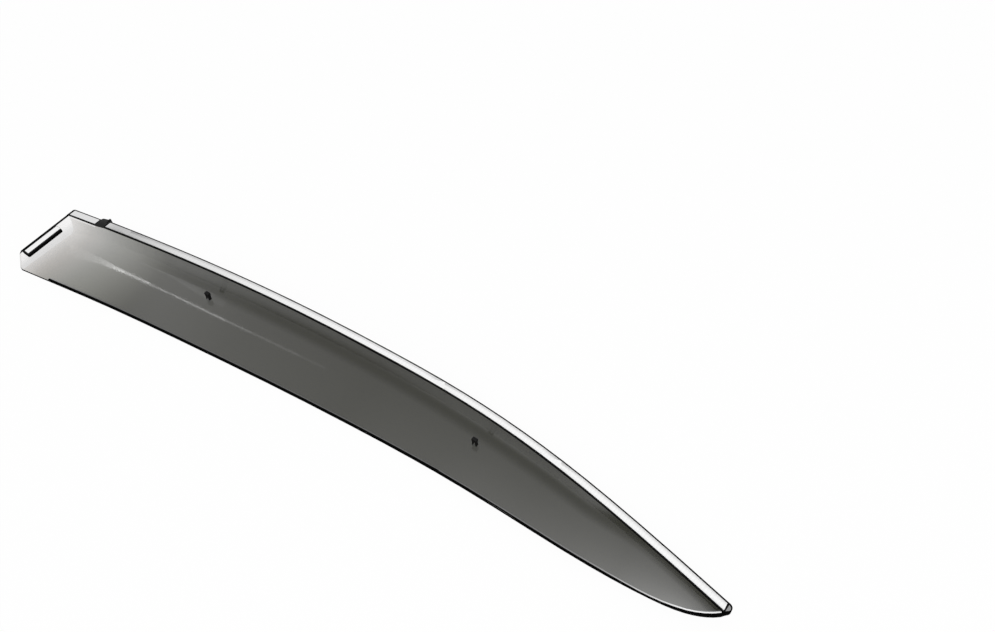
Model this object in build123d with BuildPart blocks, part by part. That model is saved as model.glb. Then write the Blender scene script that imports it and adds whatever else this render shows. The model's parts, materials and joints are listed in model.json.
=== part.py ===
from build123d import *
from math import cos, atan
import os

os.makedirs("parts", exist_ok=True)

# A rain deflector for the window of a car's rear door, lying on its outer face with the bonding
# flange up. X runs from the blunt end at the door pillar to the pointed tip, Y runs across it
# towards the roof, and Z is up. All sizes are in millimetres, and the plan is drawn from a point
# beside the flange's corner at the blunt end.

# Plan of the moulding: shares of the length, with offsets across it
length = 803.0
flange_edge = [(0, -1.4), (0.125, 15.4), (0.31, 34.6), (0.5, 45.3), (0.61, 47.2), (0.747, 40.1), (0.872, 24.6)]
lower_edge = [(0.97, -18.0), (0.921, -26.4), (0.83, -30.2), (0.729, -29.7), (0.624, -30.8), (0.516, -35.9)]
lower_edge += [(0.405, -43.4), (0.29, -53.1), (0.123, -69.9)]
lip_corner = (-3.8, -73.4)
blade_corner = (3.4, -85.3)
lower_edge_way = (-1, -0.16)
corner_radius = 2.5
nose_radius = 4.5
nose_front = 0.6
nose_start = 75.0
nose_turn = -115.0

# Bonding tape: black foam with its release liner
tape_width = 8.4
tape_margin = 1.2
foam_thickness = 1.1
liner_thickness = 0.15
tape_gap = 0.3
tape_setback = 2.5
tape_tip_setback = 5.0
end_tape_margin = 3.4
end_tape_inset = 0.6

# Section: a flat flange, a steep step, a curved shoulder and the blade that lies on the ground
sheet = 2.5
inner_margin = 0.3
flange_width = tape_margin + tape_width + inner_margin
flange_top = 23.5
flange_fall = 9.5
bow_radius = 20000.0
bow_lowest = 300.0
step_wall = 4.6
step_share = 0.6
step_lean = 1.2
step_inset = 0.5
step_overhang = 0.25
shoulder_run = 10.5
shoulder_slope = 0.9
shoulder_lean = 0.25
shoulder_drop = 0.6
shoulder_foot = 0.55
outer_pole_share = 0.25
skin_shares = (0, 0.08, 0.2, 0.35, 0.5, 0.65, 0.8, 0.9, 1)

# Joggle that drops the flange's short stretch at the pillar
joggle_start = 37.0
joggle_end = 50.0
joggle_drop = 2.7

# End wall, and the tab on it that carries the end tape
end_fall = 2.3
tab_reach = end_tape_margin + tape_width + tape_margin
tab_setback = 27.0
tab_corner_radius = 1.6

# Thick bead round the blade's free edge
rim_width = 2.4
rim_rise = 1.5
rim_start = 39.0
rim_nose_start = 770.0
rim_steps = 16

# Clip that straddles the joggle and grips the flange's edge
clip_overlap = 0.3
clip_start = joggle_start - clip_overlap
clip_end = joggle_end - clip_overlap
clip_thickness = 1.2
clip_grip = 6.0
clip_play = 0.1
clip_corner_radius = 3.0
horn_width = 1.7
horn_setback = 1.8
horn_length = 5.0
horn_reach = 1.0
horn_rise = 0.8

# Holders for the window channel's clips, bonded inside the blade: place along X, and distance
# from the step to the holder's middle
holder_places = [("front_clip_holder", 195.7, 19.1), ("rear_clip_holder", 527.0, 22.4)]
holder_width = 5.6
holder_depth = 3.6
holder_height = 10.0
holder_leg = 1.9
holder_bridge = 2.6
holder_waist = 0.7
holder_splay = 0.5
holder_corner_radius = 0.9

# Reach of the construction solids that the outline trims, pitch of the points along the flange,
# and halvings in the search for its edge
far_side = 110.0
headroom = 60.0
overrun = 12.0
far_end = length + overrun
strip_pitch = 60.0
search_steps = 30

with BuildLine() as flange_line:
    nose_arc = CenterArc((length - nose_radius, nose_front), nose_radius, nose_start, nose_turn)
    flange_end = nose_arc @ 0
    flange_curve = Spline(*[(share * length, offset_y) for share, offset_y in flange_edge], flange_end)

crest = flange_curve.bounding_box().max.Y
middle_x = (length + lip_corner[0]) / 2
middle_y = (crest + blade_corner[1]) / 2
ground = Plane(origin=(-middle_x, -middle_y, 0))
side = Plane(origin=(-middle_x, -middle_y, 0), x_dir=(1, 0, 0), z_dir=(0, -1, 0))


def crossways(x):
    """Plane across the deflector at x, drawn with Y to the right and Z up."""
    return Plane(origin=(x - middle_x, -middle_y, 0), x_dir=(0, 1, 0), z_dir=(1, 0, 0))


def flange_at(x):
    """Offset across of the flange's outer edge at x, and its slope there."""
    low, high = 0.0, 1.0
    for _ in range(search_steps):
        half = (low + high) / 2
        if (flange_curve @ half).X < x:
            low = half
        else:
            high = half
    point, way = flange_curve @ low, flange_curve % low
    slope = way.Y / way.X
    return point.Y + slope * (x - point.X), slope


def inboard(x, distance):
    """Offset across of a line that runs at a distance inside the flange's outer edge."""
    edge_y, slope = flange_at(x)
    return edge_y - distance / cos(atan(slope))


def blade_height(x):
    """Height of the blade's underside, which bows up towards both ends."""
    return (x - bow_lowest) ** 2 / (2 * bow_radius)


def flange_height(x):
    """Height of the flange's top face, before, over and past the joggle."""
    if x <= joggle_start:
        return flange_top - joggle_drop
    if x < joggle_end:
        return flange_top - joggle_drop * (joggle_end - x) / (joggle_end - joggle_start)
    return flange_top - flange_fall * ((x - joggle_end) / (length - joggle_end)) ** 2


def strip(near, far, start, stop):
    """Outline in plan of a strip between two distances inside the flange's outer edge."""
    steps = max(2, round((stop - start) / strip_pitch))
    stations = [start + (stop - start) * step / steps for step in range(steps + 1)]
    with BuildLine() as plan:
        outer = Spline(*[(x, inboard(x, near)) for x in stations])
        inner = Spline(*[(x, inboard(x, far)) for x in stations])
        Line(outer @ 0, inner @ 0)
        Line(outer @ 1, inner @ 1)
    return plan.line


def flange_layer(low, high):
    """Profile seen from the side of a layer that follows the flange between two heights above its top."""
    before, after = flange_height(0), flange_height(far_end)
    halfway = (joggle_end + far_end) / 2
    with BuildLine() as profile:
        for lift in (low, high):
            Polyline((-overrun, before + lift), (joggle_start, before + lift), (joggle_end, flange_top + lift))
            ThreePointArc(
                (joggle_end, flange_top + lift),
                (halfway, flange_height(halfway) + lift),
                (far_end, after + lift),
            )
        Line((-overrun, before + low), (-overrun, before + high))
        Line((far_end, after + low), (far_end, after + high))
    return profile.line


def flange_block(low, high, near, far, start, stop):
    """Block that follows the flange, between two heights over its top and two distances inside its edge."""
    with BuildPart() as block:
        with BuildSketch(side):
            make_face(flange_layer(low, high))
        extrude(amount=far_side, both=True)
        with BuildSketch(ground):
            make_face(strip(near, far, start, stop))
        extrude(amount=headroom, mode=Mode.INTERSECT)
    return block.part


def step_top(x):
    """Point where the step meets the flange, just under its top face and a little outside its inner edge."""
    return inboard(x, flange_width - step_overhang), flange_height(x) - step_inset


def shoulder_points(x):
    """Foot of the steep step, foot of the shoulder and the two poles of the curve between them."""
    drop = flange_height(x) - blade_height(x) - sheet
    past_joggle = min(1.0, max(0.0, (x - joggle_start) / (joggle_end - joggle_start)))
    steep = min(step_wall, step_share * drop) - joggle_drop * (1 - past_joggle)
    top_y, _ = step_top(x)
    head = Vector(top_y - step_lean, flange_height(x) - steep)
    run = min(shoulder_run, shoulder_slope * (drop - steep))
    foot = Vector(head.X - run, blade_height(x) + sheet)
    upper_pole = head - Vector(shoulder_lean * run, shoulder_drop * (head.Y - foot.Y))
    lower_pole = foot + Vector(shoulder_foot * run, 0)
    return head, upper_pole, lower_pole, foot


def skin_section(x):
    """Section of the step, the shoulder and the blade, one sheet thick."""
    top_y, top_z = step_top(x)
    head, upper_pole, lower_pole, foot = shoulder_points(x)
    sideways, down = Vector(sheet, 0), Vector(0, -sheet)
    outer_pole = upper_pole + sideways + down * outer_pole_share
    with BuildLine() as section:
        Line((top_y, top_z), head)
        Bezier(head, upper_pole, lower_pole, foot)
        Line(foot, (-far_side, foot.Y))
        Line((-far_side, foot.Y), (-far_side, foot.Y - sheet))
        Line((-far_side, foot.Y - sheet), foot + down)
        Bezier(foot + down, lower_pole + down, outer_pole, head + sideways)
        Line(head + sideways, (top_y + sheet, top_z))
        Line((top_y + sheet, top_z), (top_y, top_z))
    return section.line


def inside_section(x):
    """Section of the hollow over the blade, from the middle of the sheet to above the end wall."""
    top_y, _ = step_top(x)
    head, upper_pole, lower_pole, foot = [point + Vector(sheet, -sheet) / 2 for point in shoulder_points(x)]
    top_corner = (top_y + sheet / 2, headroom)
    with BuildLine() as section:
        Line(top_corner, head)
        Bezier(head, upper_pole, lower_pole, foot)
        Polyline(foot, (-far_side, foot.Y), (-far_side, headroom), top_corner)
    return section.line


with BuildSketch() as outline:
    with BuildLine():
        add(flange_curve)
        add(nose_arc)
        lower_curve = Spline(
            nose_arc @ 1,
            *[(share * length, offset_y) for share, offset_y in lower_edge],
            blade_corner,
            tangents=(nose_arc % 1, lower_edge_way),
            tangent_scalars=(1, 1),
        )
        Polyline(blade_corner, lip_corner, flange_edge[0])
    make_face()
    flange_corner = outline.vertices().sort_by_distance(Vector(*flange_edge[0]))[0]
    fillet(flange_corner, corner_radius)


def free_edge_inset(curve, share):
    """Point of the bead's inner line, level with the point at a share of a curve of the free edge."""
    way = curve % share
    return curve @ share + Vector(way.Y, -way.X) * rim_width


# End wall's plane, through the flange's corner, the lip's corner and the blade's corner
flange_corner_top = Vector(flange_edge[0][0], flange_edge[0][1], flange_height(0))
lip_corner_top = Vector(lip_corner[0], lip_corner[1], flange_height(0) - end_fall)
blade_corner_low = Vector(blade_corner[0], blade_corner[1], blade_height(0))
lip_line = lip_corner_top - flange_corner_top
lip_way = lip_line.normalized()
lip_inward = Vector(0, 0, 1).cross(lip_way).normalized()
outward = (blade_corner_low - flange_corner_top).cross(lip_line).normalized()
lip_origin = flange_corner_top - Vector(middle_x, middle_y, 0)
end_face = Plane(origin=lip_origin, x_dir=lip_way, z_dir=outward)
lip_face = Plane(origin=lip_origin, x_dir=lip_way, z_dir=lip_way.cross(lip_inward))

with BuildPart() as end_wall:
    for station in (-overrun, joggle_start):
        with BuildSketch(crossways(station)):
            make_face(inside_section(station))
    loft(ruled=True)
    split(bisect_by=end_face, keep=Keep.BOTTOM)
    split(bisect_by=end_face.offset(-sheet), keep=Keep.TOP)
    split(bisect_by=lip_face, keep=Keep.BOTTOM)

tab_length = lip_line.length - tab_setback
with BuildPart() as end_tab:
    with BuildSketch(lip_face) as tab_plan:
        with Locations((tab_setback + tab_length / 2, tab_reach / 2)):
            Rectangle(tab_length, tab_reach)
        fillet(tab_plan.vertices().group_by(Axis.Y)[-1], tab_corner_radius)
    extrude(amount=-sheet)

# Bead along the blade's free edge, which rises at the nose to meet the flange
with BuildPart() as rim:
    with BuildSketch(side):
        with BuildLine():
            low_start = Vector(rim_start, blade_height(rim_start) + sheet / 2)
            low_end = Vector(far_end, blade_height(far_end) + sheet / 2)
            nose_low = Vector(rim_nose_start, blade_height(rim_nose_start) + sheet / 2)
            lift = Vector(0, sheet / 2 + rim_rise)
            lowest = Vector(bow_lowest, sheet / 2)
            ThreePointArc(low_start, lowest, low_end)
            ThreePointArc(low_start + lift, lowest + lift, nose_low + lift)
            Line(low_start, low_start + lift)
            Polyline(
                nose_low + lift,
                (flange_end.X, flange_height(flange_end.X) - sheet / 2),
                (far_end, flange_height(far_end) - sheet / 2),
                low_end,
            )
        make_face()
    extrude(amount=far_side, both=True)
    with BuildSketch(ground):
        with BuildLine():
            add([nose_arc, lower_curve])
            inner_nose = ThreePointArc(*[free_edge_inset(nose_arc, share) for share in (0, 0.5, 1)])
            inner_curve = Spline(*[free_edge_inset(lower_curve, step / rim_steps) for step in range(rim_steps + 1)])
            Line(flange_end, inner_nose @ 0)
            Line(blade_corner, inner_curve @ 1)
        make_face()
    extrude(amount=headroom, mode=Mode.INTERSECT)

flange_plate = flange_block(-sheet, 0, -step_lean, flange_width, -overrun, far_end)
skin_stations = [joggle_end + share * (far_end - joggle_end) for share in skin_shares]

with BuildPart() as deflector_shell:
    for start, stop in ((-overrun, joggle_start), (joggle_start, joggle_end)):
        for station in (start, stop):
            with BuildSketch(crossways(station)):
                make_face(skin_section(station))
        loft(ruled=True)
    for station in skin_stations:
        with BuildSketch(crossways(station)):
            make_face(skin_section(station))
    loft()
    add(flange_plate)
    add(end_wall.part)
    add(end_tab.part)
    with BuildSketch(ground):
        add(outline.sketch)
    extrude(amount=headroom, mode=Mode.INTERSECT)
    split(bisect_by=end_face, keep=Keep.BOTTOM)
    add(rim.part)
deflector_shell.part.label = "deflector_shell"
export_step(deflector_shell.part, "parts/deflector_shell.step")

# Two strips of tape on the flange, one each side of the clip
tape_inner = tape_margin + tape_width
liner_top = foam_thickness + liner_thickness
tape_layers = [("foam", 0, foam_thickness), ("liner", foam_thickness, liner_top)]
flange_tapes = [
    ("short_tape", tape_setback, clip_start - tape_gap),
    ("long_tape", clip_end + tape_gap, length - tape_tip_setback),
]
for tape_name, start, stop in flange_tapes:
    for layer_name, low, high in tape_layers:
        tape_layer = flange_block(low, high, tape_margin, tape_inner, start, stop)
        tape_layer.label = f"{tape_name}_{layer_name}"
        export_step(tape_layer, f"parts/{tape_layer.label}.step")

# Strip of tape on the end wall's tab
for layer_name, low, high in tape_layers:
    with BuildPart() as end_tape:
        with BuildSketch(lip_face.offset(low)):
            with Locations((tab_setback + tab_length / 2, end_tape_margin + tape_width / 2)):
                Rectangle(tab_length - 2 * end_tape_inset, tape_width)
        extrude(amount=high - low)
    end_tape.part.label = f"end_tape_{layer_name}"
    export_step(end_tape.part, f"parts/{end_tape.part.label}.step")

# Clip: two legs and a web round the flange's edge, with a small horn at its outer corner
clip_low = -sheet - clip_play - clip_thickness
clip_high = clip_play + clip_thickness
clip_outer = -clip_play - clip_thickness
clip_body = flange_block(clip_low, clip_high, clip_outer, flange_width, clip_start, clip_end)
clip_slot = flange_block(-sheet - clip_play, clip_play, -clip_play, flange_width + overrun, -overrun, far_end)
clip_cutback = flange_block(clip_low - sheet, 0, clip_grip, flange_width + overrun, -overrun, far_end)
horn_outer = clip_outer - horn_reach
horn_end = clip_end - horn_setback
clip_horn = flange_block(0, clip_high + horn_rise, horn_outer, horn_outer + horn_length, horn_end - horn_width, horn_end)
with BuildPart() as flange_clip:
    add(clip_body)
    start_edges = flange_clip.edges().filter_by(Axis.Z).group_by(Axis.X)[0]
    fillet(start_edges.sort_by(Axis.Y)[-1], clip_corner_radius)
    add(clip_horn)
    add(clip_slot, mode=Mode.SUBTRACT)
    add(clip_cutback, mode=Mode.SUBTRACT)
flange_clip.part.label = "flange_clip"
export_step(flange_clip.part, "parts/flange_clip.step")

# Holders: two legs with a waist, joined by a bridge, and standing on the blade
half_width = holder_width / 2
half_slot = half_width - holder_leg
bridge_low = holder_height - holder_bridge
for holder_name, place, setback in holder_places:
    foot_place = (place - middle_x, inboard(place, flange_width) - setback - middle_y, blade_height(place) + sheet)
    blade_slope = (place - bow_lowest) / bow_radius
    with BuildPart() as holder:
        with BuildSketch(Plane(origin=foot_place, x_dir=(1, 0, blade_slope), z_dir=(0, -1, 0))) as holder_front:
            with BuildLine():
                Polyline(
                    (half_slot + holder_splay, 0),
                    (half_width, 0),
                    (half_width - holder_waist, bridge_low / 2),
                    (half_width, bridge_low),
                    (half_width, holder_height),
                    (0, holder_height),
                    (0, bridge_low),
                    (half_slot, bridge_low),
                    close=True,
                )
            make_face()
            mirror(about=Plane.YZ)
            top_corners = holder_front.vertices().group_by(Axis.Y)[-1].sort_by(Axis.X)
            fillet([top_corners[0], top_corners[-1]], holder_corner_radius)
        extrude(amount=holder_depth / 2, both=True)
    holder.part.label = holder_name
    export_step(holder.part, f"parts/{holder_name}.step")
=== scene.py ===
"""Looks of a window rain deflector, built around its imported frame.

The deflector lies on its outer face with the bonding flange up. X runs from the blunt end at the
door pillar to the pointed tip, Y runs across towards the roof, and Z is up. Sizes are in metres.
"""

import json
import logging
import math
from dataclasses import dataclass
from enum import Enum

import bmesh
import bpy
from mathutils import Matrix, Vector

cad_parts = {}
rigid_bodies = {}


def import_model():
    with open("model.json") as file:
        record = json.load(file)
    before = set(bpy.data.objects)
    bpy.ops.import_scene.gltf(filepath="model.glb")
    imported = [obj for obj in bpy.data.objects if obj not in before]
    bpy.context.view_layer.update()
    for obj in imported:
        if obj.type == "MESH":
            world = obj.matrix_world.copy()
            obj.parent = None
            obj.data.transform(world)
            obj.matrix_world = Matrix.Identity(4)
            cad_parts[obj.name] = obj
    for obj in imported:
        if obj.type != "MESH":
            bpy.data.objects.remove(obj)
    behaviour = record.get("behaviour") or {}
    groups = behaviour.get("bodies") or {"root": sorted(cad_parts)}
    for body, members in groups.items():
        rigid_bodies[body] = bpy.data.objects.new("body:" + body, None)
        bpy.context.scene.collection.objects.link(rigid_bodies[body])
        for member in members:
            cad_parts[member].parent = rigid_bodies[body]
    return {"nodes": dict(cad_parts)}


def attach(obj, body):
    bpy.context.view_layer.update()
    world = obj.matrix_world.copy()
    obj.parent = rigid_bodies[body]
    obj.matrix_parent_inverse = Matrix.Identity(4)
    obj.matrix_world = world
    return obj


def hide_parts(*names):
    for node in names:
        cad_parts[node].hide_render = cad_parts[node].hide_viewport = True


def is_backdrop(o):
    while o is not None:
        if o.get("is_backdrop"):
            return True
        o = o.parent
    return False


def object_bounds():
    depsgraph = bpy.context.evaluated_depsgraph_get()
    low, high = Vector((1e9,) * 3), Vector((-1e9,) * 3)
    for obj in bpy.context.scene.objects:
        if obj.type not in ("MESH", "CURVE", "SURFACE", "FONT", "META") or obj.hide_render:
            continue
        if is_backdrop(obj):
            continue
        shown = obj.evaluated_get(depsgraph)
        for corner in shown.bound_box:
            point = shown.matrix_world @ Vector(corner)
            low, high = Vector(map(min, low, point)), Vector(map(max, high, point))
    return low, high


LOG = logging.getLogger("rain_deflector")
BODY = "root"
MILLIMETRE = 0.001

# A face is a wall where its normal's Z is under UPRIGHT, and level where it is over LEVEL.
UPRIGHT = 0.3
LEVEL = 0.9

# Most values of a noise lie between these two.
NOISE_SPREAD = (0.3, 0.8)

# Watts a square metre at which an area lamp looks as bright as a glow of 1.
LAMP_WATTS = 4.0

# Least squared length to divide by.
TINY = 1e-12

Colour = tuple[float, float, float]
Point = tuple[float, float, float]
Pair = tuple[float, float]
Levels = tuple[tuple[float, float], ...]
Colours = tuple[tuple[float, Colour], ...]
LampPoints = tuple[tuple[float, float, float, float], ...]
Strip = tuple[list[Vector], list[tuple[int, ...]]]
Nodes = dict[str, bpy.types.Object]
Socket = bpy.types.NodeSocket


class Slot(Enum):
    """Material slots of the record that the new pieces have."""

    SHEET = "smoked_acrylic"
    LINER = "tape_liner"
    NYLON = "black_nylon"


@dataclass
class ShaderTree:
    """Node tree of one material, with a short method for each node that the finishes share."""

    material: bpy.types.Material

    @classmethod
    def named(cls, name: str) -> "ShaderTree":
        """Start an empty node tree on a new material.

        Args:
            name: the material's name.

        Returns:
            The tree.
        """
        material = bpy.data.materials.new(name)
        material.use_nodes = True
        material.node_tree.nodes.clear()
        return cls(material)

    def node(self, kind: str, **settings: object) -> bpy.types.Node:
        """Add a node.

        Args:
            kind: Blender's type name of the node.
            settings: properties of the node to set.

        Returns:
            The new node.
        """
        made = self.material.node_tree.nodes.new(kind)
        for name, value in settings.items():
            setattr(made, name, value)
        return made

    def feed(self, target: Socket, value: object) -> None:
        """Link a socket to another one, or set its own value.

        Args:
            target: the socket to feed.
            value: a socket, a number, a vector or a colour.
        """
        if isinstance(value, bpy.types.NodeSocket):
            self.material.node_tree.links.new(value, target)
        else:
            target.default_value = value

    def place(self) -> tuple[Socket, bpy.types.Node]:
        """Find the point on the object.

        Returns:
            The point as one vector, and the node that has its separate coordinates.
        """
        vector = self.node("ShaderNodeTexCoord").outputs["Object"]
        parts = self.node("ShaderNodeSeparateXYZ")
        self.feed(parts.inputs[0], vector)
        return vector, parts

    def share_along(self, parts: bpy.types.Node, length: float) -> Socket:
        """Give the place along X as a share of the length, 0 at the blunt end and 1 at the tip."""
        return self.math("ADD", self.math("DIVIDE", parts.outputs["X"], length), 0.5)

    def math(self, operation: str, first: object, second: object = 0.0) -> Socket:
        """Work out one operation on two values.

        Args:
            operation: Blender's name of the operation.
            first: a number or a socket.
            second: a number or a socket.

        Returns:
            The result's socket.
        """
        made = self.node("ShaderNodeMath", operation=operation)
        self.feed(made.inputs[0], first)
        self.feed(made.inputs[1], second)
        return made.outputs[0]

    def smooth(self, value: Socket, over: Pair, levels: Pair) -> Socket:
        """Map a value smoothly from one range to another.

        Args:
            value: the socket to map.
            over: start and end of its range.
            levels: results at the start and at the end.

        Returns:
            The result's socket.
        """
        made = self.node("ShaderNodeMapRange", interpolation_type="SMOOTHSTEP")
        for place, number in enumerate((value, *over, *levels)):
            self.feed(made.inputs[place], number)
        return made.outputs[0]

    def ramp(self, value: Socket, stops: Colours) -> Socket:
        """Turn a value from 0 to 1 into a colour.

        Args:
            value: the socket to look up.
            stops: places from 0 to 1 with their colours.

        Returns:
            The colour's socket.
        """
        made = self.node("ShaderNodeValToRGB")
        made.color_ramp.interpolation = "EASE"
        elements = made.color_ramp.elements
        while len(elements) < len(stops):
            elements.new(0.5)
        for element, (share, colour) in zip(elements, stops):
            element.position = share
            element.color = (*colour, 1.0)
        self.feed(made.inputs[0], value)
        return made.outputs[0]

    def level(self, value: Socket, stops: Levels) -> Socket:
        """Look a value up in a table, in straight lines between its places.

        Args:
            value: the socket to look up.
            stops: places from 0 to 1 with their levels.

        Returns:
            The level's socket.
        """
        found = self.ramp(value, tuple((place, (level,) * 3) for place, level in stops))
        found.node.color_ramp.interpolation = "LINEAR"
        return found

    def noise(self, vector: Socket, scale: float, detail: float) -> Socket:
        """Give a noise value from 0 to 1.

        Args:
            vector: the point that the noise is read at.
            scale: features a metre.
            detail: how many finer layers it has.

        Returns:
            The noise value's socket.
        """
        made = self.node("ShaderNodeTexNoise")
        self.feed(made.inputs["Vector"], vector)
        self.feed(made.inputs["Scale"], scale)
        self.feed(made.inputs["Detail"], detail)
        return made.outputs[0]

    def bump(self, height: Socket, strength: float, depth: float) -> Socket:
        """Turn a height into a normal.

        Args:
            height: the height's socket.
            strength: how strongly it shows, from 0 to 1.
            depth: real height of the relief in metres.

        Returns:
            The normal's socket.
        """
        made = self.node("ShaderNodeBump")
        self.feed(made.inputs["Strength"], strength)
        self.feed(made.inputs["Distance"], depth)
        self.feed(made.inputs["Height"], height)
        return made.outputs[0]

    def finish(self, **inputs: object) -> bpy.types.Material:
        """End the tree in one Principled shader.

        Args:
            inputs: its sockets, with spaces written as underscores.

        Returns:
            The finished material.
        """
        shader = self.node("ShaderNodeBsdfPrincipled")
        for name, value in inputs.items():
            self.feed(shader.inputs[name.replace("_", " ")], value)
        output = self.node("ShaderNodeOutputMaterial")
        self.feed(output.inputs["Surface"], shader.outputs[0])
        return self.material


@dataclass(frozen=True)
class Heights:
    """Lines and heights of the moulding, as in the solid model.

    Attributes:
        flange_edge: factors of the curve that the flange's outer edge follows, highest power first.
        flange_level: height of the flange's top where its joggle ends.
        flange_fall: how far it falls to the tip.
        flange_play: depth under it that still counts as the flange's top.
        joggle_start: place along X where the joggle starts.
        joggle_end: place along X where the joggle ends.
        joggle_drop: how far the flange lies lower at the pillar.
        tip: place along X of the tip.
        bow_lowest: place along X where the blade touches the ground.
        bow_radius: radius that the blade bows to.
        sheet: thickness of the sheet.
        bead_over: height over the blade from which a level face is the bead's top.
    """

    flange_edge: tuple[float, float, float, float] = (-0.15864, -0.27693, 0.03246, 0.06462)
    flange_level: float = 0.0235
    flange_fall: float = 0.0095
    flange_play: float = 0.3 * MILLIMETRE
    joggle_start: float = -0.3626
    joggle_end: float = -0.3496
    joggle_drop: float = 0.0027
    tip: float = 0.4034
    bow_lowest: float = -0.0996
    bow_radius: float = 20.0
    sheet: float = 0.0025
    bead_over: float = 0.75 * MILLIMETRE

    def flange(self, along: float) -> float:
        """Give the height of the flange's top face.

        Args:
            along: place along X.

        Returns:
            The height.
        """
        if along < self.joggle_end:
            past = max(0.0, (along - self.joggle_start) / (self.joggle_end - self.joggle_start))
            return self.flange_level - self.joggle_drop * (1 - past)
        share = (along - self.joggle_end) / (self.tip - self.joggle_end)
        return self.flange_level - self.flange_fall * share ** 2

    def depth_under_flange(self, point: Vector) -> float:
        """Give how far a point lies under the flange's top face."""
        return self.flange(point.x) - point.z

    def height_over_blade(self, point: Vector) -> float:
        """Give how far a point lies over the blade's upper face."""
        blade = (point.x - self.bow_lowest) ** 2 / (2 * self.bow_radius) + self.sheet
        return point.z - blade

    def inside_edge(self, tree: ShaderTree, parts: bpy.types.Node) -> Socket:
        """Work out in a material how far the point lies inside the flange's outer edge.

        Args:
            tree: the material's tree.
            parts: the node that has the point's coordinates.

        Returns:
            The distance's socket.
        """
        edge: object = self.flange_edge[0]
        for factor in self.flange_edge[1:]:
            edge = tree.math("ADD", tree.math("MULTIPLY", edge, parts.outputs["X"]), factor)
        return tree.math("SUBTRACT", edge, parts.outputs["Y"])

    def under_flange(self, tree: ShaderTree, parts: bpy.types.Node) -> Socket:
        """Work out in a material how far the point lies under the flange's top face, past the joggle.

        Args:
            tree: the material's tree.
            parts: the node that has the point's coordinates.

        Returns:
            The depth's socket.
        """
        along = tree.math("SUBTRACT", parts.outputs["X"], self.joggle_end)
        share = tree.math("MAXIMUM", tree.math("DIVIDE", along, self.tip - self.joggle_end), 0.0)
        fall = tree.math("MULTIPLY", tree.math("MULTIPLY", share, share), self.flange_fall)
        top = tree.math("SUBTRACT", self.flange_level, fall)
        return tree.math("SUBTRACT", top, parts.outputs["Z"])


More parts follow.
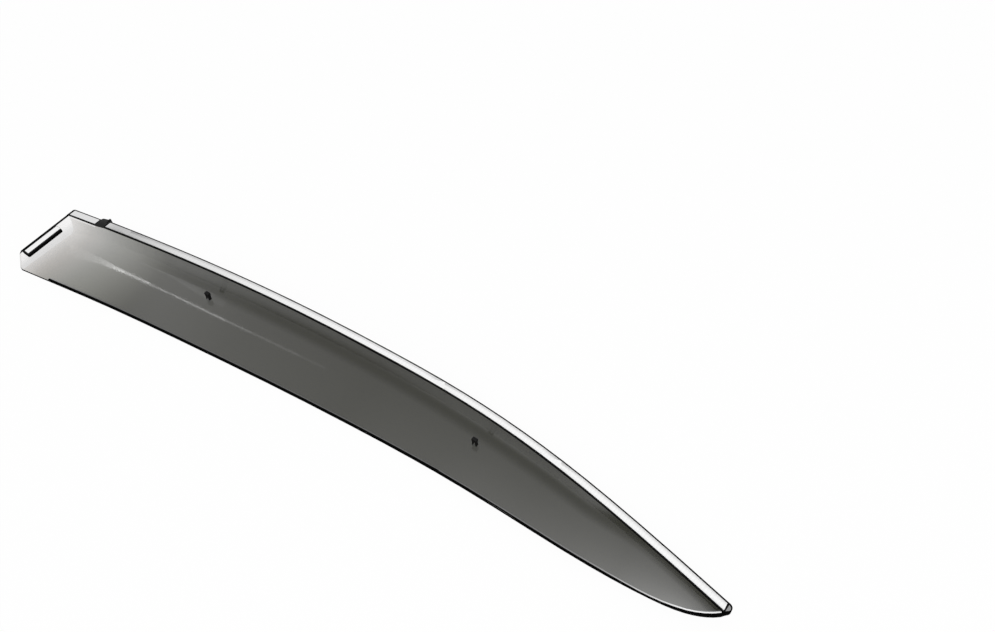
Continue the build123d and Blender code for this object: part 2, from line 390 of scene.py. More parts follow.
@dataclass(frozen=True)
class SmokedSheet:
    """Smoked see-through acrylic, dark along the blade, with painted light and shade in its clearness.

    Attributes:
        name: name of the material.
        heights: lines and heights of the moulding.
        colours: shares of the length with the smoke's colour, warm and light at the pillar as painted
            reflection.
        clear: shares of the length with the light one face lets through, raised at both ends as painted
            reflection.
        leans: shares of the length with how fast that grows towards the free edge, a painted gradient of
            light.
        lean_range: growth a metre where leans is 0, and where it is 1.
        lean_from: distance inside the flange's edge from which it grows.
        band: distances inside the flange's edge with the darkness there, painted shade under the shoulder.
        band_reach: distance that a place of 1 in that table stands for.
        band_rest: darkness in it that changes nothing.
        band_depths: shares of the length with how strongly it shows.
        band_shift: how much nearer to the flange's edge the band lies at the tip.
        band_shift_over: shares of the length between which it shifts.
        rim: depth under the flange down to which the step is black, and depth where it is clear.
        foot: depths under the flange between which the walls turn into their foot.
        foot_clear: factor of the clearness at the foot.
        foot_colour: factor of the colour there.
        mark_scale: fine marks a metre.
        mark_detail: finer layers of the marks.
        roughness: roughness beside a mark, and on it.
        refraction: index of refraction.
    """

    name: str = "smoked_sheet"
    heights: Heights = Heights()
    colours: Colours = ((0.0, (0.20, 0.15, 0.10)), (0.08, (0.08, 0.08, 0.05)), (0.2, (0.018, 0.018, 0.008)))
    clear: Levels = (
        (0.01, 0.80), (0.024, 0.73), (0.042, 0.640), (0.061, 0.594), (0.079, 0.535), (0.104, 0.475),
        (0.129, 0.415), (0.166, 0.330), (0.203, 0.313), (0.253, 0.281), (0.315, 0.252), (0.377, 0.240),
        (0.439, 0.228), (0.5, 0.217), (0.626, 0.23), (0.75, 0.245), (0.81, 0.272), (0.876, 0.307),
        (0.925, 0.374), (0.963, 0.438),
    )
    leans: Levels = (
        (0.02, 0.05), (0.035, 0.0), (0.14, 0.0), (0.166, 0.02), (0.203, 0.08), (0.253, 0.135),
        (0.5, 0.16), (0.564, 0.207), (0.626, 0.215), (0.688, 0.302), (0.81, 0.334), (0.876, 0.451),
        (0.925, 0.608), (0.963, 1.0),
    )
    lean_range: Pair = (-2.6, 23.0)
    lean_from: float = 0.025
    band: Levels = (
        (0.24, 0.0), (0.30, 0.9), (0.34, 1.0), (0.40, 0.86), (0.46, 0.6), (0.54, 0.3), (1.0, 0.3)
    )
    band_reach: float = 0.05
    band_rest: float = 0.3
    band_depths: Levels = ((0.12, 0.0), (0.2, 0.3), (0.35, 0.55), (0.82, 0.55), (0.92, 0.85))
    band_shift: float = 0.0095
    band_shift_over: Pair = (0.8, 0.9)
    rim: Pair = (0.0008, 0.0024)
    foot: Pair = (0.008, 0.018)
    foot_clear: float = 1.0
    foot_colour: float = 1.0
    mark_scale: float = 1500.0
    mark_detail: float = 2.0
    roughness: Pair = (0.024, 0.027)
    refraction: float = 1.49

    def make(self, length: float) -> bpy.types.Material:
        """Build the material.

        Args:
            length: length of the moulding along X.

        Returns:
            The material.
        """
        tree = ShaderTree.named(self.name)
        vector, parts = tree.place()
        share = tree.share_along(parts, length)
        inside = self.heights.inside_edge(tree, parts)
        under = self.heights.under_flange(tree, parts)
        # Painted light: the clearness changes along the length and towards the free edge.
        clear = tree.math("MULTIPLY", tree.level(share, self.clear), self.growth(tree, inside, share))
        # Painted shade: a darker band under the shoulder, and a clearer head above it.
        clear = tree.math("MULTIPLY", clear, self.shoulder(tree, inside, share))
        clear = tree.math("MULTIPLY", clear, tree.smooth(under, self.foot, (1.0, self.foot_clear)))
        # Painted reflection: the colour is warm and light at the pillar.
        colour = tree.node("ShaderNodeVectorMath", operation="SCALE")
        tree.feed(colour.inputs[0], tree.ramp(share, self.colours))
        tree.feed(colour.inputs["Scale"], tree.smooth(under, self.foot, (1.0, self.foot_colour)))
        black = tree.smooth(under, self.rim, (1.0, 0.0))
        dense = tree.math("MAXIMUM", tree.math("SUBTRACT", 1.0, clear), black)
        marks = tree.noise(vector, self.mark_scale, self.mark_detail)
        return tree.finish(
            Base_Color=colour.outputs[0],
            Alpha=tree.math("MINIMUM", dense, 1.0),
            Roughness=tree.smooth(marks, NOISE_SPREAD, self.roughness),
            IOR=self.refraction,
        )

    def growth(self, tree: ShaderTree, inside: Socket, share: Socket) -> Socket:
        """Make the factor of painted light by which the sheet is clearer, or less clear, towards the free
        edge.

        Args:
            tree: the material's tree.
            inside: distance inside the flange's edge.
            share: share of the length.

        Returns:
            The factor's socket.
        """
        least, most = self.lean_range
        lean = tree.math("ADD", tree.math("MULTIPLY", tree.level(share, self.leans), most - least), least)
        past = tree.math("SUBTRACT", inside, self.lean_from)
        return tree.math("ADD", tree.math("MULTIPLY", lean, past), 1.0)

    def shoulder(self, tree: ShaderTree, inside: Socket, share: Socket) -> Socket:
        """Make the factor of painted light and shade: the shoulder's head clearer, the band under it
        darker.

        Args:
            tree: the material's tree.
            inside: distance inside the flange's edge.
            share: share of the length.

        Returns:
            The factor's socket.
        """
        shift = tree.smooth(share, self.band_shift_over, (0.0, self.band_shift))
        place = tree.math("DIVIDE", tree.math("ADD", inside, shift), self.band_reach)
        change = tree.math("SUBTRACT", self.band_rest, tree.level(place, self.band))
        return tree.math("ADD", tree.math("MULTIPLY", change, tree.level(share, self.band_depths)), 1.0)


@dataclass(frozen=True)
class GrainedPlastic:
    """Black plastic with a fine grain; as it stands, moulded nylon with a satin one.

    Attributes:
        name: name of the material.
        colour: its colour.
        gloss: strength of its gloss.
        grain_scale: grains a metre.
        grain_detail: finer layers of the grain.
        roughness: roughness between the grains, and on them.
        relief: how strongly the grain stands out, from 0 to 1.
        relief_depth: its height.
    """

    name: str = "moulded_nylon"
    colour: Colour = (0.003, 0.003, 0.003)
    gloss: float = 0.2
    grain_scale: float = 2600.0
    grain_detail: float = 4.0
    roughness: Pair = (0.40, 0.55)
    relief: float = 0.25
    relief_depth: float = 0.06 * MILLIMETRE

    def make(self) -> bpy.types.Material:
        """Build the material.

        Returns:
            The material.
        """
        tree = ShaderTree.named(self.name)
        vector, _ = tree.place()
        grain = tree.noise(vector, self.grain_scale, self.grain_detail)
        return tree.finish(
            Base_Color=(*self.colour, 1.0),
            Roughness=tree.smooth(grain, NOISE_SPREAD, self.roughness),
            Specular_IOR_Level=self.gloss,
            Normal=tree.bump(grain, self.relief, self.relief_depth),
        )


@dataclass(frozen=True)
class LinerFilm:
    """White release liner with fine ribs across it, and painted shade towards the pillar end.

    Attributes:
        name: name of the material.
        whites: shares of the length with the film's white, darkened towards the pillar end as painted
            shade.
        rib_scale: scale of the wave that makes a rib every 3.46 mm.
        rib_waver: how far the ribs stray from straight.
        rib_detail: finer layers of that.
        rib_shade: colour that the ribs are shaded with.
        rib_shading: how strongly.
        roughness: roughness of the film.
        relief: how strongly the ribs stand out, from 0 to 1.
        relief_depth: height of the ribs.
    """

    name: str = "liner_film"
    whites: Colours = (
        (0.05, (0.79, 0.79, 0.79)), (0.085, (0.55, 0.55, 0.55)), (0.21, (0.81, 0.81, 0.81)),
        (0.35, (0.92, 0.92, 0.92)), (0.5, (0.96, 0.96, 0.96)), (0.8, (0.96, 0.96, 0.96)),
    )
    rib_scale: float = 1000 / 11
    rib_waver: float = 1.5
    rib_detail: float = 2.0
    rib_shade: Colour = (0.55, 0.56, 0.56)
    rib_shading: float = 0.10
    roughness: float = 0.42
    relief: float = 0.35
    relief_depth: float = 0.1 * MILLIMETRE

    def make(self, length: float) -> bpy.types.Material:
        """Build the material.

        Args:
            length: length of the moulding along X.

        Returns:
            The material.
        """
        tree = ShaderTree.named(self.name)
        vector, parts = tree.place()
        # Painted shade: the white film is darker towards the pillar end.
        colour = tree.ramp(tree.share_along(parts, length), self.whites)
        ribs = tree.node("ShaderNodeTexWave", wave_type="BANDS", bands_direction="X")
        tree.feed(ribs.inputs["Vector"], vector)
        tree.feed(ribs.inputs["Scale"], self.rib_scale)
        tree.feed(ribs.inputs["Distortion"], self.rib_waver)
        tree.feed(ribs.inputs["Detail"], self.rib_detail)
        mixed = tree.node("ShaderNodeMix", data_type="RGBA", blend_type="MULTIPLY")
        tree.feed(mixed.inputs["Factor"], tree.math("MULTIPLY", ribs.outputs["Fac"], self.rib_shading))
        tree.feed(mixed.inputs["A"], colour)
        tree.feed(mixed.inputs["B"], (*self.rib_shade, 1.0))
        return tree.finish(
            Base_Color=mixed.outputs["Result"],
            Roughness=self.roughness,
            Normal=tree.bump(ribs.outputs["Fac"], self.relief, self.relief_depth),
        )


@dataclass(frozen=True)
class TapeFoam:
    """Black foam of the bonding tape, with fine cells."""

    colour: Colour = (0.010, 0.010, 0.010)
    cell_scale: float = 3500.0
    roughness: float = 0.9
    gloss: float = 0.2
    relief: float = 0.5
    relief_depth: float = 0.1 * MILLIMETRE

    def make(self) -> bpy.types.Material:
        """Build the material.

        Returns:
            The material.
        """
        tree = ShaderTree.named("tape_foam_cells")
        vector, _ = tree.place()
        cells = tree.node("ShaderNodeTexVoronoi")
        tree.feed(cells.inputs["Vector"], vector)
        tree.feed(cells.inputs["Scale"], self.cell_scale)
        return tree.finish(
            Base_Color=(*self.colour, 1.0),
            Roughness=self.roughness,
            Specular_IOR_Level=self.gloss,
            Normal=tree.bump(cells.outputs["Distance"], self.relief, self.relief_depth),
        )


def dress(piece: bpy.types.Object, material: bpy.types.Material) -> None:
    """Give a piece one material in place of those that it has.

    Args:
        piece: the piece.
        material: its new material.
    """
    piece.data.materials.clear()
    piece.data.materials.append(material)
    LOG.info("%s wears %s", piece.name, material.name)


def add_object(name: str, data: bpy.types.ID) -> bpy.types.Object:
    """Put a new object into the scene.

    Args:
        name: its name.
        data: its mesh, light or camera.

    Returns:
        The object.
    """
    made = bpy.data.objects.new(name, data)
    bpy.context.scene.collection.objects.link(made)
    LOG.info("%s is in the scene", name)
    return made


def welded(node: bpy.types.Object, reach: float) -> bmesh.types.BMesh:
    """Open a copy of a solid's mesh for changes, with its doubled points made one.

    Args:
        node: the solid.
        reach: distance within which points are one.

    Returns:
        The open mesh.
    """
    form = bmesh.new()
    form.from_mesh(node.data)
    bmesh.ops.remove_doubles(form, verts=form.verts, dist=reach)
    return form


def close(form: bmesh.types.BMesh, name: str) -> bpy.types.Object:
    """Turn an open mesh into an object, and free it.

    Args:
        form: the open mesh.
        name: name of the object and its mesh.

    Returns:
        The object.
    """
    mesh = bpy.data.meshes.new(name)
    form.to_mesh(mesh)
    form.free()
    return add_object(name, mesh)


class Zone(Enum):
    """Parts of the moulding that look different, with their places among its materials."""

    FACE = 0
    END_WALL = 1
    EDGE = 2


@dataclass
class Moulding:
    """The shell of smoked sheet: blade, shoulder, step, flange, end wall, tab and bead in one piece.

    Attributes:
        heights: lines and heights of the moulding.
        sheet: finish of the clear faces.
        end_wall: finish of the end wall, pale and warm as painted reflection, its colour darker towards the
            foot.
        edge: finish of the edges, where the smoke is too deep to see through.
        node: the moulding's solid.
        end_facing: least X of a normal on the end wall.
        end_tilts: least and most Z of a normal there.
        steep: Z of a normal under which a face is a side of the sheet.
        pillar_facing: X of a normal under which such a side looks to the pillar.
        pillar_side_under: depth under the flange from which that side is clear.
        corner_tilt: most Z of a normal in the corner at the pillar.
        corner_under: depth under the flange down to which the corner reaches.
        level_slope: most Y of a normal on a level face.
        tab_under: depth under the flange down to which the tab's top reaches.
    """

    heights: Heights = Heights()
    sheet: SmokedSheet = SmokedSheet()
    # Painted reflection: the end wall is paler, clearer and warmer than the smoke; its colour darkens
    # towards the foot.
    end_wall: SmokedSheet = SmokedSheet(
        name="smoked_end_wall",
        clear=((0.0, 0.9), (0.03, 0.87)),
        colours=((0.0, (0.8, 0.75, 0.72)),),
        leans=((0.0, 0.08),),
        rim=(-0.002, -0.001),
        foot_clear=0.93,
        foot_colour=0.25,
    )
    edge: GrainedPlastic = GrainedPlastic(
        name="smoked_edge",
        gloss=0.0,
        grain_scale=1800.0,
        grain_detail=3.0,
        roughness=(0.25, 0.40),
        relief=0.15,
        relief_depth=0.03 * MILLIMETRE,
    )
    node: str = "deflector_shell"
    end_facing: float = 0.8
    end_tilts: Pair = (0.3, 0.5)
    steep: float = 0.1
    pillar_facing: float = -0.5
    pillar_side_under: float = 4 * MILLIMETRE
    corner_tilt: float = 0.7
    corner_under: float = 2.2 * MILLIMETRE
    level_slope: float = 0.06
    tab_under: float = 3 * MILLIMETRE

    def build(self, nodes: Nodes, length: float) -> None:
        """Make the dressed moulding, with a material for each of its zones.

        Args:
            nodes: the solids by their names.
            length: length of the moulding along X.
        """
        mesh = nodes[self.node].data.copy()
        mesh.name = f"{self.node}_moulded"
        mesh.materials.clear()
        for finish in (self.sheet.make(length), self.end_wall.make(length), self.edge.make()):
            mesh.materials.append(finish)
        for face in mesh.polygons:
            face.material_index = self.zone(face.center, face.normal).value
        piece = add_object(f"{self.node}_moulded", mesh)
        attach(piece, BODY)
        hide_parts(self.node)

    def zone(self, middle: Vector, normal: Vector) -> Zone:
        """Tell which zone a face belongs to.

        Args:
            middle: the face's middle.
            normal: the direction that it looks in.

        Returns:
            Its zone.
        """
        under_flange = self.heights.depth_under_flange(middle)
        low, high = self.end_tilts
        if abs(normal.x) > self.end_facing and low < abs(normal.z) < high:
            return Zone.END_WALL
        if abs(normal.z) < self.steep:
            clear = normal.x < self.pillar_facing and under_flange > self.pillar_side_under
            return Zone.FACE if clear else Zone.EDGE
        if normal.z < 0:
            return Zone.FACE
        at_pillar = middle.x < self.heights.joggle_start
        in_corner = normal.y < 0 and normal.z < self.corner_tilt and under_flange < self.corner_under
        # The corner at the pillar takes the end wall's painted reflection.
        if at_pillar and in_corner:
            return Zone.END_WALL
        if normal.z < LEVEL or abs(normal.y) > self.level_slope:
            return Zone.FACE
        on_flange = under_flange < self.heights.flange_play
        on_tab = at_pillar and under_flange < self.tab_under
        on_bead = self.heights.height_over_blade(middle) > self.heights.bead_over
        return Zone.EDGE if on_flange or on_tab or on_bead else Zone.FACE


@dataclass
class PaintedRimLight:
    """Thin strips of painted light on the moulding's black rims: two along the bead and one on the nose.

    Attributes:
        heights: lines and heights of the moulding.
        node: the moulding's solid.
        weld: distance within which the solid's points are one.
        side_facing: least Y of a normal on the bead's sides.
        bead_under: depth under the flange from which a face can be the bead's.
        tones: shares of the length with how light the painted tone is, as the lit blade beside it.
        glints: shares of the length with how light the painted highlight beside the painted tone is.
        widths: places along X with the painted tone's width, or the least of both strips together.
        glint_widths: places along X with the painted highlight's width; it starts at the first.
        black_width: width of the bead's top that stays black where there is a painted highlight.
        matte: roughness of both.
        lift: height of the strips over the rims.
        nose_from: place along X beyond which the flange's points are the nose's.
        nose_share: size of the nose's strip against the nose, along X and across it.
        nose_shift: how much nearer to the tape it lies than the nose's middle.
        nose_tone: how light its painted grey is.
        nose_roughness: its roughness.
    """

    heights: Heights = Heights()
    node: str = "deflector_shell"
    weld: float = 0.002 * MILLIMETRE
    side_facing: float = 0.3
    bead_under: float = 1 * MILLIMETRE
    tones: Levels = (
        (0.03, 0.42), (0.08, 0.25), (0.12, 0.17), (0.16, 0.14), (0.3, 0.13), (0.5, 0.13), (0.66, 0.145),
        (0.8, 0.19), (0.9, 0.22), (1.0, 0.24),
    )
    glints: Levels = (
        (0.5, 0.15), (0.7, 0.17), (0.78, 0.19), (0.83, 0.25), (0.87, 0.37), (0.90, 0.5), (0.93, 0.68),
        (0.96, 0.92),
    )
    widths: Levels = ((-0.38, 0.0008), (-0.30, 0.0010), (0.2, 0.0010), (0.3, 0.0014))
    glint_widths: Levels = ((0.1, 0.0004), (0.2, 0.0006), (0.3, 0.0009), (0.36, 0.0013))
    black_width: float = 0.0014
    matte: float = 0.6
    lift: float = 0.1 * MILLIMETRE
    nose_from: float = 0.3988
    nose_share: Pair = (0.85, 0.66)
    nose_shift: float = 0.0009
    nose_tone: float = 0.28
    nose_roughness: float = 0.3

    def build(self, nodes: Nodes, length: float) -> None:
        """Lay the three strips on the moulding.

        Args:
            nodes: the solids by their names.
            length: length of the moulding along X.
        """
        form = welded(nodes[self.node], self.weld)
        form.normal_update()
        inner = self.bead_edge(form, 1.0)
        outer = [point for point in self.bead_edge(form, -1.0) if point not in inner]
        bounds = [self.bounds(point, outer) for point in inner]
        painted_tone = [(near, mid) for near, mid, _ in bounds]
        glint = [(mid, far) for _, mid, far in bounds if self.has_glint(mid)]
        # Painted light: the inner part of the bead's black top takes the blade's lit tone.
        self.lay("bead_painted_tone", self.ribbon(painted_tone), self.painted_tone("bead_painted_tone", length, self.tones))
        # Painted highlight: a light line inside the bead's black top, brightest at the tip.
        self.lay("bead_painted_highlight", self.ribbon(glint), self.painted_tone("bead_painted_highlight", length, self.glints))
        # Painted light: a flat grey strip on the nose's black top.
        self.lay("nose_painted_light", self.nose(form), self.painted_nose_light())
        form.free()

    def bead_edge(self, form: bmesh.types.BMesh, side: float) -> list[Vector]:
        """Find the points along one edge of the bead's top.

        Args:
            form: the moulding's open mesh.
            side: 1 for the inner edge, -1 for the outer one.

        Returns:
            The points, from the blunt end to the tip.
        """
        found: set[bmesh.types.BMVert] = set()
        for edge in form.edges:
            faces = edge.link_faces
            if any(map(self.on_bead, faces)) and any(self.on_side(face, side) for face in faces):
                found.update(edge.verts)
        return sorted((vert.co.copy() for vert in found), key=lambda point: point.x)

    def on_side(self, face: bmesh.types.BMFace, side: float) -> bool:
        """Tell whether a face is a wall that looks to the inner side (1) or the outer one (-1)."""
        return abs(face.normal.z) < UPRIGHT and face.normal.y * side > self.side_facing

    def on_bead(self, face: bmesh.types.BMFace) -> bool:
        """Tell whether a face is part of the bead's top.

        Args:
            face: a face of the moulding.

        Returns:
            Whether it is.
        """
        middle = face.calc_center_median()
        over = self.heights.height_over_blade(middle) > self.heights.bead_over
        under = self.heights.depth_under_flange(middle) > self.bead_under
        return over and under and face.normal.z > LEVEL and middle.x > self.widths[0][0]

    def has_glint(self, point: Vector) -> bool:
        """Tell whether the bead has the painted highlight at a point."""
        return point.x > self.glint_widths[0][0]

    def bounds(self, point: Vector, outer: list[Vector]) -> tuple[Vector, Vector, Vector]:
        """Give where the painted tone starts, where it turns into the painted highlight and where that
        ends.

        Args:
            point: a point on the bead's inner edge.
            outer: the points along its outer edge.

        Returns:
            Three points across the bead's top.
        """
        ways = [self.nearest(point, start, stop) for start, stop in zip(outer, outer[1:])]
        across = min(ways, key=lambda way: way.length)
        mid = far = self.look_up(self.widths, point.x)
        if self.has_glint(point):
            far = max(far, across.length - self.black_width)
            mid = max(0.0, far - self.look_up(self.glint_widths, point.x))
        raised = point + Vector((0.0, 0.0, self.lift))
        way = across.normalized()
        return raised, raised + way * mid, raised + way * far

    def nearest(self, point: Vector, start: Vector, stop: Vector) -> Vector:
        """Give the way from a point to the place on a stretch that is nearest in plan.

        Args:
            point: the point.
            start: start of the stretch.
            stop: end of the stretch.

        Returns:
            The way.
        """
        way, offset = stop - start, point - start
        share = offset.xy.dot(way.xy) / max(way.xy.length_squared, TINY)
        return start + way * min(1.0, max(0.0, share)) - point

    def look_up(self, table: Levels, along: float) -> float:
        """Look a width up in a table, in straight lines between its places.

        Args:
            table: places along X with their widths.
            along: place along X.

        Returns:
            The width there.
        """
        for (start, before), (stop, after) in zip(table, table[1:]):
            if along < stop:
                return before + (after - before) * max(0.0, (along - start) / (stop - start))
        return table[-1][1]

    def ribbon(self, pairs: list[tuple[Vector, Vector]]) -> Strip:
        """Give the points and faces of a ribbon between pairs of points."""
        points = [point for pair in pairs for point in pair]
        return points, [(place, place + 1, place + 3, place + 2) for place in range(0, len(points) - 2, 2)]

    def nose(self, form: bmesh.types.BMesh) -> Strip:
        """Shape the strip on the nose, the flange's top beyond the tape.

        Args:
            form: the moulding's open mesh.

        Returns:
            The strip's points, and its one face.
        """
        play = self.heights.flange_play
        ring = [
            vert.co.copy() for vert in form.verts
            if vert.co.x > self.nose_from and self.heights.depth_under_flange(vert.co) < play
        ]
        lows = Vector(min(point[axis] for point in ring) for axis in range(3))
        middle = (lows + Vector(max(point[axis] for point in ring) for axis in range(3))) / 2
        ring.sort(key=lambda point: math.atan2(point.y - middle.y, point.x - middle.x))
        share = Vector((*self.nose_share, 1.0))
        laid = middle + Vector((-self.nose_shift, 0.0, self.lift))
        points = [laid + (point - middle) * share for point in ring]
        return points, [tuple(range(len(points)))]

    def lay(self, name: str, strip: Strip, finish: bpy.types.Material) -> None:
        """Make one strip.

        Args:
            name: its name.
            strip: its points and faces.
            finish: its material.
        """
        points, faces = strip
        mesh = bpy.data.meshes.new(name)
        mesh.from_pydata(points, [], faces)
        mesh.update()
        mesh.materials.append(finish)
        piece = add_object(name, mesh)
        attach(piece, BODY)

    def painted_tone(self, name: str, length: float, tones: Levels) -> bpy.types.Material:
        """Build the painted light of a strip along the bead.

        Args:
            name: name of the material.
            length: length of the moulding along X.
            tones: shares of the length with how light it is.

        Returns:
            The material.
        """
        tree = ShaderTree.named(name)
        _, parts = tree.place()
        tone = tree.level(tree.share_along(parts, length), tones)
        return tree.finish(Base_Color=tone, Roughness=self.matte, Specular_IOR_Level=0.0)

    def painted_nose_light(self) -> bpy.types.Material:
        """Build the flat painted light of the strip on the nose."""
        tree = ShaderTree.named("nose_painted_light")
        return tree.finish(Base_Color=(*(self.nose_tone,) * 3, 1.0), Roughness=self.nose_roughness)


@dataclass
class BondingTape:
    """The strips of foam tape with their release liners.

    Attributes:
        flange_strips: the strips on the flange.
        end_strip: the strip on the end wall's tab.
        margin: how far a liner on the flange stays inside the foam's edge.
        end_margin: how far the liner on the tab does.
        weld: distance within which a solid's points are one.
        same_way: how alike the normals of faces of one wall are, from 0 to 1.
        roof_facing: Y of a normal from which a wall looks towards the roof.
        liner: finish of the liners on the flange.
        end_liner: finish of the liner on the tab.
        foam: finish of the foam.
    """

    flange_strips: tuple[str, ...] = ("long_tape", "short_tape")
    end_strip: str = "end_tape"
    margin: float = 0.0008
    end_margin: float = 0.0013
    weld: float = 0.01 * MILLIMETRE
    same_way: float = 0.9
    roof_facing: float = 0.7
    liner: LinerFilm = LinerFilm()
    end_liner: LinerFilm = LinerFilm(name="end_liner_film", whites=((0.0, (0.96, 0.96, 0.96)),))
    foam: TapeFoam = TapeFoam()

    def build(self, nodes: Nodes, length: float) -> None:
        """Dress the foam of each strip and lay its liner on it.

        Args:
            nodes: the solids by their names.
            length: length of the moulding along X.
        """
        film, cells = self.liner.make(length), self.foam.make()
        strips = [(strip, self.margin, film, False) for strip in self.flange_strips]
        strips.append((self.end_strip, self.end_margin, self.end_liner.make(length), True))
        for strip, margin, finish, full_end in strips:
            dress(nodes[f"{strip}_foam"], cells)
            node = nodes[f"{strip}_liner"]
            piece = self.trimmed(node, margin, full_end)
            dress(piece, finish)
            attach(piece, BODY)
            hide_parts(node.name)

    def trimmed(self, node: bpy.types.Object, margin: float, full_end: bool) -> bpy.types.Object:
        """Build the liner with its walls moved in, so that the foam shows as a dark line round it.

        Args:
            node: the plain solid, as wide as the foam.
            margin: how far each wall moves in.
            full_end: whether the wall towards the roof stays where it is.

        Returns:
            The trimmed piece.
        """
        form = welded(node, self.weld)
        form.normal_update()
        moves: dict[bmesh.types.BMVert, Vector] = {}
        for vert in form.verts:
            walls: list[Vector] = []
            for face in vert.link_faces:
                known = any(face.normal.dot(wall) > self.same_way for wall in walls)
                kept = full_end and face.normal.y > self.roof_facing
                if abs(face.normal.z) < UPRIGHT and not known and not kept:
                    walls.append(face.normal.copy())
            moves[vert] = sum((wall * -margin for wall in walls), Vector())
        for vert, move in moves.items():
            vert.co += move
        return close(form, f"{node.name}_film")


@dataclass
class NylonFittings:
    """The flange's clip and the two clip holders, with their edges rounded as a mould leaves them.

    Attributes:
        roundings: the fittings with the width of their rounded edges.
        segments: facets across a rounded edge.
        profile: how full its curve is; 0.5 is round.
        sharp_angle: angle from which an edge is rounded.
        flat_angle: angle up to which neighbouring facets are one face.
        weld: distance within which a solid's points are one.
        finish: finish of all three.
    """

    roundings: tuple[tuple[str, float], ...] = (
        ("flange_clip", 0.00030), ("front_clip_holder", 0.00035), ("rear_clip_holder", 0.00035)
    )
    segments: int = 3
    profile: float = 0.5
    sharp_angle: float = math.radians(30)
    flat_angle: float = math.radians(2)
    weld: float = 0.01 * MILLIMETRE
    finish: GrainedPlastic = GrainedPlastic()

    def build(self, nodes: Nodes) -> None:
        """Make a rounded piece for each fitting.

        Args:
            nodes: the solids by their names.
        """
        nylon = self.finish.make()
        for node, rounding in self.roundings:
            piece = self.rounded(nodes[node], rounding)
            dress(piece, nylon)
            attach(piece, BODY)
            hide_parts(node)

    def rounded(self, node: bpy.types.Object, rounding: float) -> bpy.types.Object:
        """Build the fitting's form with rounded edges.

        Args:
            node: the plain solid.
            rounding: width of the rounded edges.

        Returns:
            The rounded piece.
        """
        form = welded(node, self.weld)
        bmesh.ops.dissolve_limit(form, angle_limit=self.flat_angle, verts=form.verts, edges=form.edges)
        whole = [edge for edge in form.edges if edge.is_manifold]
        bmesh.ops.bevel(
            form,
            geom=[edge for edge in whole if edge.calc_face_angle() > self.sharp_angle],
            offset=rounding,
            segments=self.segments,
            profile=self.profile,
            affect="EDGES",
            clamp_overlap=True,
        )
        for face in form.faces:
            face.smooth = True
        return close(form, f"{node.name}_moulded")


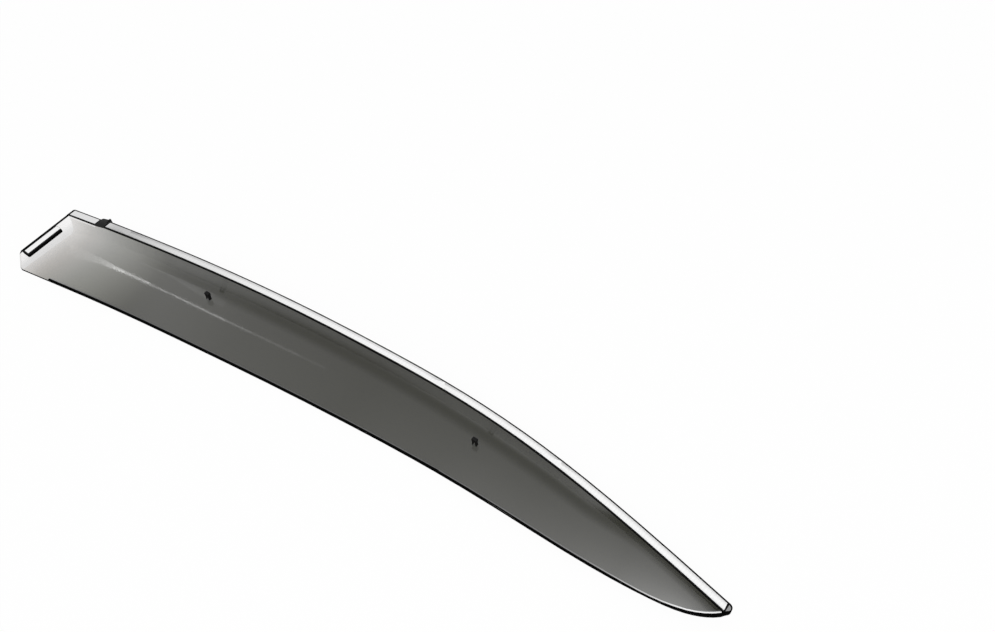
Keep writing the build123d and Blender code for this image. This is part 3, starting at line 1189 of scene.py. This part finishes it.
@dataclass
class Studio:
    """Pale floor, soft lamps and the camera at the photograph's angle.

    Attributes:
        camera_place: where the camera stands.
        camera_pitch: how far it is tipped up from looking straight down.
        camera_turn: how far it is turned about the vertical.
        lens: focal length in millimetres on a sensor 36 mm wide.
        floor_size: side length of the floor.
        floor_white: how light the floor is where it takes light.
        floor_glow: share of it that shows as plain white.
        world_light: strength of the light from all round.
        softbox_place: where the middle of the large lamp hangs.
        softbox_width: its side length.
        softbox_power: its power in watts.
        streak: points of the thin lamps that the blade mirrors: X, Y, width and brightness.
        wedge: points of the wider and dimmer lamps beside them.
        streak_height: height of both.
    """

    camera_place: Point = (0.4313, -0.3724, 0.8838)
    camera_pitch: float = math.radians(36.79)
    camera_turn: float = math.radians(34.45)
    lens: float = 38.41
    floor_size: float = 12.0
    floor_white: float = 0.9
    floor_glow: float = 0.95
    world_light: float = 0.80
    softbox_place: Point = (0.9, -1.1, 1.9)
    softbox_width: float = 1.6
    softbox_power: float = 14.0
    streak: LampPoints = (
        (-1.240, 0.372, 0.026, 0.7), (-1.200, 0.382, 0.021, 1.3), (-1.181, 0.386, 0.016, 2.2),
        (-1.163, 0.390, 0.012, 3.2), (-1.147, 0.3928, 0.0095, 4.9), (-1.131, 0.3955, 0.0075, 7.8),
        (-1.115, 0.3983, 0.0055, 11.0), (-1.099, 0.401, 0.0045, 7.0), (-1.034, 0.410, 0.0035, 4.2),
        (-0.969, 0.419, 0.0035, 5.0), (-0.905, 0.427, 0.0035, 4.4), (-0.842, 0.435, 0.0035, 2.0),
        (-0.779, 0.443, 0.0035, 1.3), (-0.717, 0.451, 0.0045, 0.9), (-0.656, 0.458, 0.0045, 0.4),
        (-0.595, 0.465, 0.0045, 0.0),
    )
    wedge: LampPoints = (
        (-1.094, 0.448, 0.018, 0.6), (-1.048, 0.456, 0.021, 0.7), (-0.995, 0.462, 0.023, 0.7),
        (-0.942, 0.464, 0.022, 0.5), (-0.905, 0.465, 0.018, 0.25), (-0.870, 0.465, 0.015, 0.0),
    )
    streak_height: float = 1.0

    def build(self) -> None:
        """Build the floor, the world, the lamps and the camera."""
        self.floor()
        self.world()
        self.softbox()
        self.chain("streak_lamp", self.streak)
        self.chain("wedge_lamp", self.wedge)
        self.camera()
        view = bpy.context.scene.view_settings
        view.view_transform = "Standard"

    def background(self, tree: ShaderTree) -> Socket:
        """Give 1 where the background itself is seen, also in gloss and through the sheet.

        Args:
            tree: the background's node tree.

        Returns:
            The socket.
        """
        path = tree.node("ShaderNodeLightPath")
        seen = tree.math("MAXIMUM", path.outputs["Is Camera Ray"], path.outputs["Is Glossy Ray"])
        return tree.math("MAXIMUM", seen, path.outputs["Is Transmission Ray"])

    def floor(self) -> None:
        """Lay a pale floor that keeps a faint shadow."""
        tree = ShaderTree.named("pale_floor")
        matte = tree.node("ShaderNodeBsdfDiffuse")
        tree.feed(matte.inputs["Color"], (*(self.floor_white,) * 3, 1.0))
        glow = tree.node("ShaderNodeEmission")
        mix = tree.node("ShaderNodeMixShader")
        tree.feed(mix.inputs[0], tree.math("MULTIPLY", self.background(tree), self.floor_glow))
        tree.feed(mix.inputs[1], matte.outputs[0])
        tree.feed(mix.inputs[2], glow.outputs[0])
        tree.feed(tree.node("ShaderNodeOutputMaterial").inputs["Surface"], mix.outputs[0])
        half = self.floor_size / 2
        mesh = bpy.data.meshes.new("pale_floor")
        corners = [(-half, -half, 0.0), (half, -half, 0.0), (half, half, 0.0), (-half, half, 0.0)]
        mesh.from_pydata(corners, [], [(0, 1, 2, 3)])
        mesh.materials.append(tree.material)
        floor = add_object("pale_floor", mesh)
        floor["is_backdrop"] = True

    def world(self) -> None:
        """Light evenly from all round, in front of a white background."""
        world = bpy.data.worlds.new("white_studio")
        world.use_nodes = True
        bpy.context.scene.world = world
        nodes, links = world.node_tree.nodes, world.node_tree.links
        nodes.clear()
        path = nodes.new("ShaderNodeLightPath")
        strength = nodes.new("ShaderNodeMapRange")
        strength.inputs["To Min"].default_value = self.world_light
        strength.inputs["To Max"].default_value = 1.0
        shader = nodes.new("ShaderNodeBackground")
        output = nodes.new("ShaderNodeOutputWorld")
        links.new(path.outputs["Is Camera Ray"], strength.inputs["Value"])
        links.new(strength.outputs[0], shader.inputs["Strength"])
        shader.inputs["Color"].default_value = (1.0, 1.0, 1.0, 1.0)
        links.new(shader.outputs[0], output.inputs["Surface"])

    def lamp(self, name: str, power: float, place: Point, size: Pair) -> bpy.types.Object:
        """Hang a rectangular lamp that looks straight down.

        Args:
            name: its name.
            power: its power in watts.
            place: where its middle hangs.
            size: its two side lengths.

        Returns:
            The lamp's object.
        """
        light = bpy.data.lights.new(name, "AREA")
        light.shape = "RECTANGLE"
        light.size, light.size_y = size
        light.energy = power
        lamp = add_object(name, light)
        lamp.location = place
        return lamp

    def softbox(self) -> None:
        """Hang the large square lamp that looks at the object."""
        size = (self.softbox_width, self.softbox_width)
        lamp = self.lamp("overhead_softbox", self.softbox_power, self.softbox_place, size)
        lamp.rotation_euler = Vector(self.softbox_place).to_track_quat("Z", "Y").to_euler()

    def chain(self, name: str, points: LampPoints) -> None:
        """Hang a chain of thin lamps that shows as one streak of light on the blade.

        Args:
            name: name that its lamps share.
            points: its points, each with X, Y, and the next lamp's width and brightness.
        """
        for number, (start, stop) in enumerate(zip(points, points[1:])):
            near, far = Vector(start[:2]), Vector(stop[:2])
            way, middle = far - near, (near + far) / 2
            width, glow = start[2:]
            power = LAMP_WATTS * glow * way.length * width
            place = (*middle, self.streak_height)
            strip = self.lamp(f"{name}_{number}", power, place, (way.length, width))
            strip.rotation_euler = (0.0, 0.0, math.atan2(way.y, way.x))

    def camera(self) -> None:
        """Set up the camera."""
        data = bpy.data.cameras.new("photograph_camera")
        data.lens = self.lens
        camera = add_object("photograph_camera", data)
        camera.location = self.camera_place
        camera.rotation_euler = (self.camera_pitch, 0.0, self.camera_turn)
        bpy.context.scene.camera = camera


def main() -> None:
    """Build the deflector's looks and its studio in order."""
    logging.basicConfig(level=logging.INFO, format="%(name)s: %(message)s")
    for leftover in list(bpy.data.objects):
        bpy.data.objects.remove(leftover)
    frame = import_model()
    cad_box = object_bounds()
    nodes = frame["nodes"]
    length = cad_box[1].x - cad_box[0].x
    Moulding().build(nodes, length)
    PaintedRimLight().build(nodes, length)
    BondingTape().build(nodes, length)
    NylonFittings().build(nodes)
    Studio().build()


if __name__ == "__main__":
    main()
